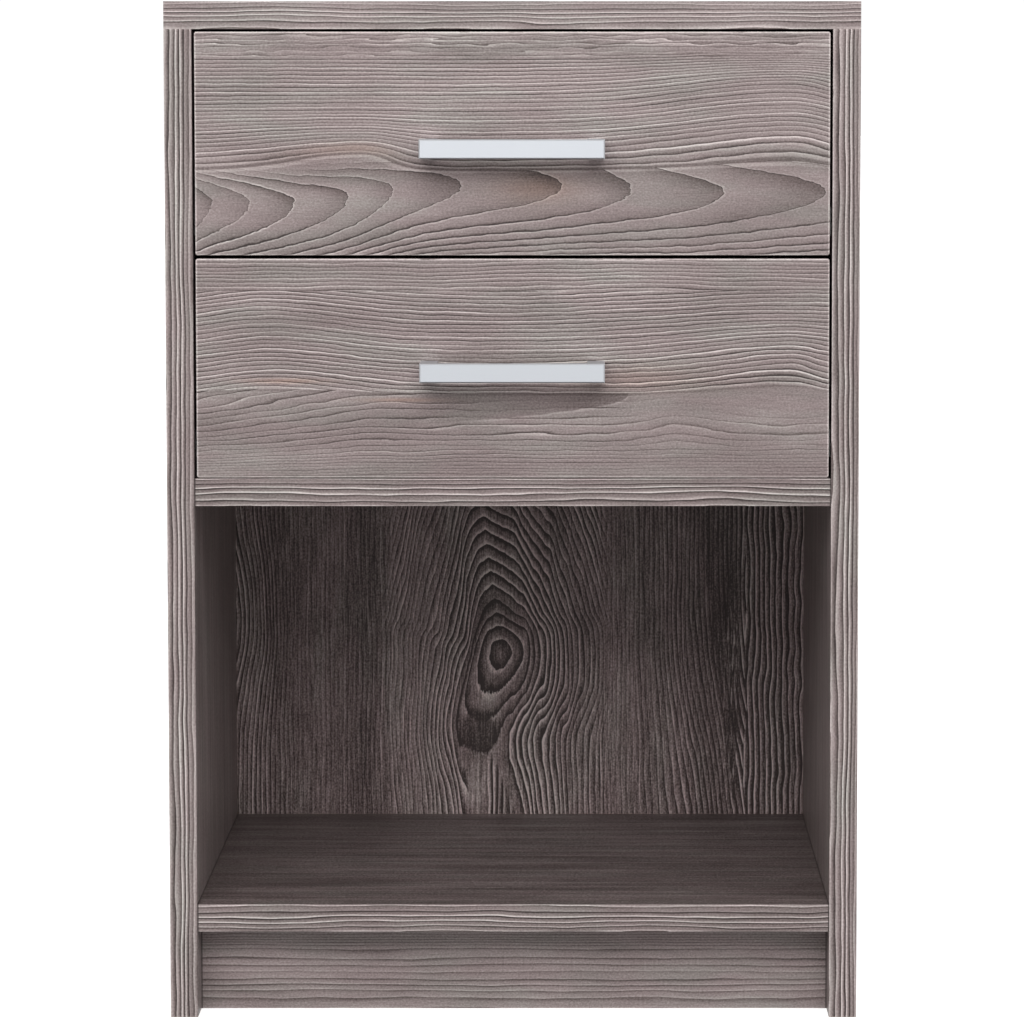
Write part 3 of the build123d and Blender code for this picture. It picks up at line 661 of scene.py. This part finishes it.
def backPanel():
    name, place = "back_panel", backSettings
    finish = Finish("backPrint")
    x, y, z = finish.axes()
    low, high = boxInMillimetres(name)
    knotX, knotZ = place["knot"]
    share = (x - low.x) / (high.x - low.x)
    strength = finish.curve(share, place["strength"]) * place["lineGain"]
    shade = (finish.curve(share, place["tone"]) - 0.5) * place["toneGain"]

    # rings round the knot: pointed above, round below, and lines that flow past it
    up = z - knotZ
    axis = up * (up > 0) * place["leanAbove"] - crest(up, *place["lowAxis"]) * place["lowAxisLeft"]
    near = crest(x, knotX - 8, *place["reach"])
    u = x - knotX - axis * near
    u = u + finish.ripple(z, x, place["sway"]) * abs(u).ease(3, 24)
    side = abs(u)
    level = up + (0 - u).ease(6, 26) * near * 20
    over = level > 0
    below = ((0 - level).most(0.01) / place["ringsBelow"]) ** place["belowPower"]
    below = below.least(place["lastBelow"])
    rise = level * over / place["ringsAbove"] + below * (1 - over)
    slope, more, extra = place["spread"]
    start, end = place["spreadFrom"]
    spread = side * slope + (side - start).most(0.0) * more + (side - end).most(0.0) * extra
    spread = spread + (0 - up).ease(18, 58) * u.ease(6, 30) * place["joining"]
    steep = (side > start) * more + (side > end) * extra + slope
    power = level.ease(*place["pointedFrom"]) * (place["pointed"] - place["rounded"]) + place["rounded"]
    ring = (spread.most(0.001) ** power + rise.most(0.001) ** power) ** (1 / power)
    slow, quick = place["waves"]
    ring = ring + finish.ripple(z, x, slow) * spread.ease(0.5, 4) + finish.ripple(z, x, quick)
    torn = (1 - side.ease(8, 20)) * (0.25 + 0.75 * (1 - up.ease(-30, -5)))
    ring = ring + finish.ripple(z, x, place["teeth"]) * torn
    heart = near * (1 - side.ease(*place["heart"]))
    style = fineStyle | {"dark": 0.34, "light": 0.38, "darkWidth": heart * 1.4 + 1.8,
                         "lightWidth": heart * 1.0 + 1.4, "fill": heart * 0.10 + 0.18}
    tone = lines(finish, ring + 500, steep, z, style) * strength
    tone = tone - crest(ring, 0.0, 0.5, 0.6) * place["heartDark"]
    tone = tone - crest(ring, *place["drop"]) * near * ((0 - u).ease(-8, 6) * 0.8 + 0.2) * place["dropDark"]

    # straighter lines on both sides: a bulge on the left, and on the right a funnel toward the figure
    (length, width, size), (shorter, narrower, smaller) = place["outerWaves"]
    sway = (finish.cloud(z / length, x / width, 53.0) * size
            + finish.cloud(z / shorter, x / narrower, 54.0) * smaller)
    bulge = crest(z, *place["bulge"]) * (1 - x.ease(*place["bulgeReach"])) * place["bulgeWide"]
    outer = place["outerPitch"]
    leftLines = lines(finish, (x + sway - bulge) / outer + 100, 1 / outer, z, style)
    tone = tone.toward(leftLines * strength, 1 - x.ease(*place["leftFrom"]))
    funnel = (1 - z.ease(*place["funnel"])) * x.ease(*place["funnelReach"]) * place["funnelWide"]
    rightLines = lines(finish, (x + sway - funnel) / outer + 300, 1 / outer, z, style)
    rightLines = rightLines * strength * (x.ease(*place["funnelReach"]) * 0.9 + 0.8)
    tone = tone.toward(rightLines, x.ease(*place["rightFrom"]))

    # a dark figure that points down, on the right, and contrasty lines beyond it
    jag = finish.cloud(z / 11, x / 0.9, 44.0)    # uneven ends of threads
    length, size = place["figureWave"]
    far = x - place["figure"] - finish.cloud(z / length, 2.0, 45.0) * size
    (length, width, size), (shorter, narrower, smaller) = place["farWaves"]
    wave = (x + finish.cloud(z / length, x / width, 46.0) * size
            + finish.cloud(z / shorter, x / narrower, 47.0) * smaller)
    farLines = lines(finish, wave / place["farPitch"] + 700, 1 / place["farPitch"], z, style | farStyle)
    tone = tone.toward(farLines * strength * place["farGain"], far > 8)
    wedge = (z - place["figureTip"]) * place["figureWidening"] + 3
    gully = (far + wedge + jag * 8).ease(0, 5) * (1 - (far + jag * 5).ease(3, 6))
    gully = gully * (z + jag * 14).ease(place["figureTip"] - 10, place["figureTip"] + 2)
    gully = gully * (1 - z.ease(*place["figureFades"]) * 0.6)
    calm, dark = place["figureDark"]
    tone = tone * (1 - gully * calm) - gully * dark
    torn = finish.cloud(z / 16, x / 1.2, 55.0, 2.0).ease(-0.02, 0.16)
    (upper, start, end), (lower, lowStart, lowEnd) = place["flecks"]
    flecks = crest(far, 1.0, 7, 2.5) * ((1 - abs(z - upper).ease(start, end))
                                        + (1 - abs(z - lower).ease(lowStart, lowEnd)))
    tone = tone + torn * flecks * place["fleckLight"]

    # a dark bulb under the knot, pale fringes above and below it, and thin threads down to the shelf
    middle, height, halfWide, halfHigh = place["bulb"]
    bulbX, bulbZ = x - middle, z - height
    threads = (x + finish.cloud(z / 25, x / 8, 49.0) * 3 + jag * 0.6) / place["threadPitch"] + 900
    threadTone = lines(finish, threads, 1 / place["threadPitch"], z, style | {"fill": 0.2})
    threadTone = threadTone * (bulbX.ease(4, 11) * 1.2 + 0.35) + jag * 0.25 + 0.07 * (1 - bulbX.ease(4, 11))
    belowBulb = 1 - (z + jag * 12).ease(97, 107)
    leftSide = bulbX - (z - 80) * 0.06 + 9
    rightSide = (107 - z) * 0.40 + 9 - bulbX
    under = leftSide.ease(0, 3) * rightSide.ease(-2, 4) * belowBulb
    tone = tone.toward(threadTone, under)
    tone = tone - crest(bulbX + 8, 0, 4, 3) * (1 - z.ease(66, 84)) * 0.16
    fromBulb = ((bulbX / halfWide) ** 2.0 + (bulbZ / halfHigh) ** 2.0).root() + jag * 0.5
    bulb = 1 - fromBulb.ease(0.80, 1.08)
    fringe = crest(bulbX - 4, 0, 10, 11) * (crest(z, 140, 5, 6) + crest(z, 88, 18, 14) * 0.6)
    calm, dark = place["bulbDark"]
    tone = tone * (1 - bulb * calm) - bulb * dark + fringe * (jag * 0.7 + 0.26) * 0.8
    tone = tone + woodSettings["base"] - place["darker"] + shade

    colour, level, relief = woodColour(finish, tone, z, x, y, place["seed"], woodSettings | backGrain)
    chips = (finish.cloud(x / 1.4, z / 1.4, 51.0, 3.0, 0.7)
             + finish.cloud(x / 55, z / 80, 52.0, 3.0, 0.6) * 0.3)
    dark, pale = place["bare"]
    bare = y - low.y > place["printed"]     # the rest is plain hardboard
    colour = finish.blend(bare, colour, finish.ramp(chips + 0.5, [(0.25, dark), (0.75, pale)]))
    rough = bare * 0.3 + 0.5 - level * 0.1
    giveFinish(name, finish.shade(colour, rough, finish.bump(relief, woodSettings["bump"]), 0.0,
                                  {"Specular IOR Level": woodSettings["specular"]}))


upperFront()
lowerFront()
for boardName, boardPlace in boardSettings.items():
    carcassBoard(boardName, boardPlace)
backPanel()
print("wood finished")


handleSettings = {
    "colour": (0.66, 0.683, 0.72, 1),
    "worn": (0.82, 0.83, 0.85, 1),       # on the rubbed arrises
    "wear": (0.2, 0.9), "wearShare": 0.7,
    "drawn": (22, 0.12),                 # length and width of the fine lines along the bar
    "shades": ((0.94, 0.94, 0.94, 1), (1, 1, 1, 1)),
    "rough": 0.50,
    "bump": 0.004,
}


def aluminium(name):
    finish = Finish(name + "Aluminium")
    x, y, z = finish.axes()
    length, width = handleSettings["drawn"]
    draw = finish.cloud(x / length, y / width, z / width, 2.0, 0.6)
    smudge = finish.cloud(x / 18, y / 9, z / 9, 2.0)
    edge = arrisDistance(finish, name)
    bright = 1 - edge.ease(*handleSettings["wear"])
    colour = finish.blend(bright * handleSettings["wearShare"], handleSettings["colour"],
                          handleSettings["worn"])
    darker, lighter = handleSettings["shades"]
    colour = finish.blend(1.0, colour, finish.ramp(draw + 0.5, [(0.2, darker), (0.8, lighter)]), "MULTIPLY")
    rough = handleSettings["rough"] + draw * 0.10 + smudge * 0.10
    giveFinish(name, finish.shade(colour, rough, finish.bump(draw, handleSettings["bump"]), 1.0))


for drawerName in ("upper", "lower"):
    aluminium(drawerName + "_handle")
print("handles finished")


boxSettings = {
    "foil": (tint(128, 120, 115), tint(142, 134, 129)),      # taupe foil, darker and paler
    "bottomPale": tint(150, 142, 136),
    "hardboard": (tint(96, 68, 44), tint(146, 110, 76)),
    "foilDepth": 0.3, "coatDepth": 0.35,     # of the bare lower edge, and of the coat on the bottom panel
}


def boxBoard(name, alongAxis, seed):
    finish = Finish(name + "Foil")
    axes = dict(zip("xyz", finish.axes()))
    x, y, z = axes["x"], axes["y"], axes["z"]
    along = axes[alongAxis]
    strokes = finish.cloud(along / 22, z / 0.7, seed, 2.0, 0.6)
    bands = finish.cloud(along / 120, z / 6, seed + 4, 2.0)
    dots = finish.cloud(x / 1.2, y / 1.2, z / 1.2 + seed, 1.0)
    edge = arrisDistance(finish, name)
    wear = (1 - edge.ease(0.2, 1.0)) * 0.35 * (finish.cloud(x / 5, y / 5, z / 5, 2.0) + 0.7)
    level = strokes * 0.9 + bands * 0.8 + dots * 0.4 + 0.5 + wear
    dark, pale = boxSettings["foil"]
    colour = finish.ramp(level, [(0.1, dark), (0.9, pale)])
    low = boxInMillimetres(name)[0]
    raw = (z - low.z) < boxSettings["foilDepth"]   # the lower edge is left bare
    colour = finish.blend(raw, colour, rawChips(finish, seed))
    rough = strokes * 0.12 + raw * 0.25 + 0.52
    giveFinish(name, finish.shade(colour, rough, finish.bump(strokes + dots, 0.03)))


def hardboardSheet(name, seed):
    finish = Finish(name + "Hardboard")
    x, y, z = finish.axes()
    high = boxInMillimetres(name)[1]
    mottle = finish.cloud(x / 2.2, y / 2.2, seed, 3.0, 0.6)
    cloudy = finish.cloud(x / 60, y / 60, seed + 3, 2.0)
    scuff = finish.cloud(x / 40, y / 0.8, seed + 6, 2.0).ease(0.22, 0.3)
    top = finish.ramp(mottle * 0.7 + cloudy * 0.8 + 0.5 + scuff * 0.25,
                      [(0.1, boxSettings["foil"][0]), (0.9, boxSettings["bottomPale"])])
    dark, pale = boxSettings["hardboard"]
    fibres = finish.cloud(x / 1.1, y / 1.1, z, 3.0, 0.7)
    under = finish.ramp(fibres + 0.5, [(0.25, dark), (0.75, pale)])
    bare = (high.z - boxSettings["coatDepth"] - z) > 0
    colour = finish.blend(bare, top, under)
    rough = bare * 0.3 + 0.5 + scuff * 0.1
    giveFinish(name, finish.shade(colour, rough, finish.bump(mottle, 0.02)))


metalSettings = {  # colours of the clean metal and of its painted shade, and the size of its grain
    "steel_screws": {"base": (0.62, 0.63, 0.65), "shadow": (0.36, 0.36, 0.38),
                     "rough": 0.30, "grain": 0.35},
    "zinc_pins": {"base": (0.60, 0.61, 0.62), "shadow": (0.36, 0.36, 0.37),
                  "rough": 0.34, "grain": 0.5},
    "steel_nails": {"base": (0.52, 0.52, 0.52), "shadow": (0.24, 0.23, 0.22),
                    "rough": 0.36, "grain": 0.4},
    "zinc_cams": {"base": (0.50, 0.51, 0.52), "shadow": (0.28, 0.28, 0.29),
                  "rough": 0.46, "grain": 1.2},
}


def metal(name, place, seed):
    finish = Finish(name + "Metal")
    x, y, z = finish.axes()
    grain = place["grain"]
    cast = finish.cloud(x / grain, y / grain, z / grain + seed, 3.0, 0.65)
    shadeAndGlintBlotches = finish.cloud(x / 4, y / 4, z / 4 + seed * 2, 2.0)
    # painted shade and a painted glint: noise blotches mix the metal toward a shadow copy and a brighter
    # glint copy
    glint = [min(1, level * 1.2) for level in place["base"]]
    colour = finish.ramp(cast * 0.7 + shadeAndGlintBlotches * 0.9 + 0.62, [(0.1, (*place["shadow"], 1)),
                                                          (0.7, (*place["base"], 1)), (1.0, (*glint, 1))])
    rough = cast * 0.25 + shadeAndGlintBlotches * 0.2 + place["rough"]
    giveFinish(name, finish.shade(colour, rough, finish.bump(cast, 0.02), 1.0))


paintSettings = {
    "rail_steel": {"base": tint(232, 232, 229), "dirt": tint(196, 193, 187), "rough": 0.36, "peel": 1.1},
    "roller_nylon": {"base": tint(236, 235, 229), "dirt": tint(206, 203, 194), "rough": 0.42, "peel": 0.6},
}


def paint(name, place, seed):
    finish = Finish(name + "Coat")
    x, y, z = finish.axes()
    peel = finish.cloud(x / place["peel"], y / place["peel"], z / place["peel"] + seed, 1.0)
    handling = finish.cloud(x / 14, y / 26, z / 6 + seed, 3.0, 0.6)
    rub = finish.cloud(x / 1.2, y / 16, z / 1.2 - seed, 2.0, 0.6).ease(0.12, 0.3)
    dirty = (handling.ease(-0.05, 0.25) * 0.5 + rub * 0.35).least(1.0)
    colour = finish.blend(dirty, place["base"], place["dirt"])
    rough = dirty * 0.2 + peel * 0.1 + place["rough"]
    giveFinish(name, finish.shade(colour, rough, finish.bump(peel, 0.012)))


dowelSettings = {"pale": tint(214, 178, 132), "dark": tint(176, 134, 88)}


def dowels(name, seed):
    finish = Finish(name + "Beech")
    x, y, z = finish.axes()
    fleck = finish.cloud(x / 3, y / 0.5, z / 0.5 + seed, 3.0, 0.7)
    ray = finish.cloud(x / 0.6, y / 0.9, z / 3 + seed, 2.0, 0.6)
    colour = finish.ramp(fleck * 1.0 + ray * 0.7 + 0.5,
                         [(0.1, dowelSettings["dark"]), (0.8, dowelSettings["pale"])])
    giveFinish(name, finish.shade(colour, fleck * 0.2 + 0.6, finish.bump(fleck, 0.03)))


def finishFittings():
    # every other node takes the finish that belongs to its material slot
    slots = {part["node"]: part["material_slot"] for part in frame["record"]["subparts"]}
    for seed, (name, slotName) in enumerate(sorted(slots.items())):
        if slotName == "drawer_box_board":
            boxBoard(name, "x" if "back" in name else "y", seed * 1.7)
        elif slotName == "drawer_bottom_hardboard":
            hardboardSheet(name, seed * 1.7)
        elif slotName in metalSettings:
            metal(name, metalSettings[slotName], seed * 1.7)
        elif slotName in paintSettings:
            paint(name, paintSettings[slotName], seed * 1.7)
        elif slotName == "beech_dowels":
            dowels(name, seed * 1.7)


finishFittings()
print("drawer boxes and fittings finished")


stageSettings = {"reach": 28.0, "glow": 0.75, "white": 0.9, "wallGlow": 1.05}


def selectNothing():
    bpy.ops.object.select_all(action="DESELECT")


def makeStage():
    # a pale floor, and a white room wall far round it that only the camera sees
    selectNothing()
    reach, white = stageSettings["reach"], stageSettings["white"]
    bpy.ops.mesh.primitive_plane_add(size=reach * 2, location=(0, 0, cadBox[0].z))
    floor = bpy.context.object
    floor.name = "studio_floor"
    finish = Finish("floorWhite")
    diffuse = finish.node("ShaderNodeBsdfDiffuse", None, {"Color": (white, white, white, 1)})
    glow = finish.node("ShaderNodeEmission", None,
                       {"Color": (1, 1, 1, 1), "Strength": stageSettings["glow"]})
    finish.send(finish.node("ShaderNodeAddShader", None, {0: diffuse, 1: glow}), "ShaderNodeOutputMaterial")
    floor.data.materials.append(finish.material)
    selectNothing()
    bpy.ops.mesh.primitive_uv_sphere_add(segments=48, ring_count=24, radius=reach, location=(0, 0, 0))
    wall = bpy.context.object
    wall.name = "studio_wall"
    wallFinish = Finish("wallWhite")
    wallGlow = wallFinish.node("ShaderNodeEmission", None,
                               {"Color": (1, 1, 1, 1), "Strength": stageSettings["wallGlow"]})
    wallFinish.send(wallGlow, "ShaderNodeOutputMaterial")
    wall.data.materials.append(wallFinish.material)
    for each in (floor, wall):
        each.visible_diffuse = each.visible_glossy = each.visible_transmission = False
    wall.visible_shadow = False
    selectNothing()


lightSettings = {
    "skyHigh": 0.76, "skyLow": 0.18, "skyRise": (-0.55, -0.12),   # light from below is weaker
    "keyPower": 43.0, "keySize": (2.6, 1.2), "keyPlace": (-0.2, -2.7, 1.75),
}


def makeLight():
    world = bpy.data.worlds.new("studio")
    bpy.context.scene.world = world
    world.use_nodes = True
    sky = Finish("sky", world.node_tree)
    direction = sky.node("ShaderNodeTexCoord", out="Generated")
    height = sky.node("ShaderNodeSeparateXYZ", None, {0: direction}, "Z")
    high, low = lightSettings["skyHigh"], lightSettings["skyLow"]
    strength = height.ease(*lightSettings["skyRise"]) * (high - low) + low
    back = sky.node("ShaderNodeBackground", None, {"Color": (1, 1, 1, 1), "Strength": strength})
    sky.send(back, "ShaderNodeOutputWorld")
    lamp = bpy.data.lights.new("key", "AREA")
    lamp.energy = lightSettings["keyPower"]
    lamp.shape = "RECTANGLE"
    lamp.size, lamp.size_y = lightSettings["keySize"]
    key = bpy.data.objects.new("key", lamp)
    bpy.context.scene.collection.objects.link(key)
    key.location = lightSettings["keyPlace"]
    middle = (cadBox[0] + cadBox[1]) / 2
    key.rotation_euler = (middle - key.location).to_track_quat("-Z", "Y").to_euler()


cameraSettings = {
    "ahead": 2.87,      # in front of the handles
    "aside": 0.038,     # right of the middle
    "belowTop": 0.024,
    "tiltDown": 5.32,   # degrees
    "lens": 177,
    "shift": -0.065,
}


def makeCamera():
    lens = bpy.data.cameras.new("camera")
    lens.lens = cameraSettings["lens"]
    lens.sensor_width = 36
    lens.shift_x = cameraSettings["shift"]
    lens.clip_end = 100
    camera = bpy.data.objects.new("camera", lens)
    bpy.context.scene.collection.objects.link(camera)
    camera.location = (cameraSettings["aside"], cadBox[0].y - cameraSettings["ahead"],
                       cadBox[1].z - cameraSettings["belowTop"])
    camera.rotation_euler = (math.radians(90 - cameraSettings["tiltDown"]), 0, 0)
    bpy.context.scene.camera = camera


makeStage()
makeLight()
makeCamera()
bpy.context.scene.view_settings.view_transform = "Standard"
print("stage, light and camera placed")
